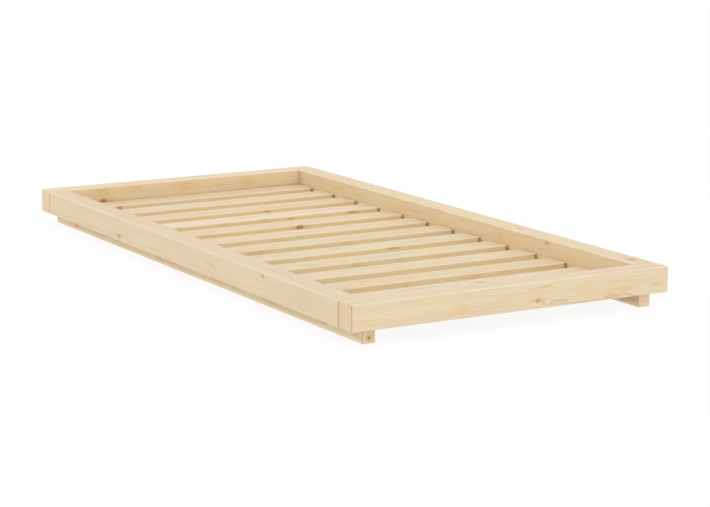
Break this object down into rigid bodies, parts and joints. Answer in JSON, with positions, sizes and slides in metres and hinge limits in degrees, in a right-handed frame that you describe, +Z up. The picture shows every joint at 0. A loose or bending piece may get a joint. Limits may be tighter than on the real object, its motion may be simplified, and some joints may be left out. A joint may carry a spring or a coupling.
{
  "type": "toddler floor bed",
  "caption": "Very low solid timber bed frame: thick rails with rounded edges round a recessed row of cross slats, carried on long runners, with no headboard or guard rail.",
  "frame": {"origin": "on the floor, under the middle of the bed", "axes": "+X across the bed, +Y along it towards the head, +Z up"},
  "size_m": [1.04, 2.14, 0.117],
  "materials": {
    "end_rail_pine": "planed pine, edges rounded, clear matt oil",
    "side_rail_pine": "planed pine, edges rounded, clear matt oil",
    "runner_pine": "planed pine, edges rounded, clear matt oil",
    "slat_pine": "planed pine, edges rounded, untreated",
    "dowel_beech": "turned beech",
    "screw_steel": "bright zinc plated"
  },
  "bodies": {
    "root": {"end_rail_head": "end_rail_pine", "end_rail_foot": "end_rail_pine", "side_rail_left": "side_rail_pine", "side_rail_right": "side_rail_pine", "runner_left": "runner_pine", "runner_right": "runner_pine", "slat_01": "slat_pine", "slat_02": "slat_pine", "slat_03": "slat_pine", "slat_04": "slat_pine", "slat_05": "slat_pine", "slat_06": "slat_pine", "slat_07": "slat_pine", "slat_08": "slat_pine", "slat_09": "slat_pine", "slat_10": "slat_pine", "slat_11": "slat_pine", "slat_12": "slat_pine", "slat_13": "slat_pine", "corner_dowels_head_left": "dowel_beech", "corner_dowels_head_right": "dowel_beech", "corner_dowels_foot_left": "dowel_beech", "corner_dowels_foot_right": "dowel_beech", "end_rail_screws_head": "screw_steel", "end_rail_screws_foot": "screw_steel", "side_rail_screws_left": "screw_steel", "side_rail_screws_right": "screw_steel", "slat_screws_left": "screw_steel", "slat_screws_right": "screw_steel"}
  },
  "joints": []
}
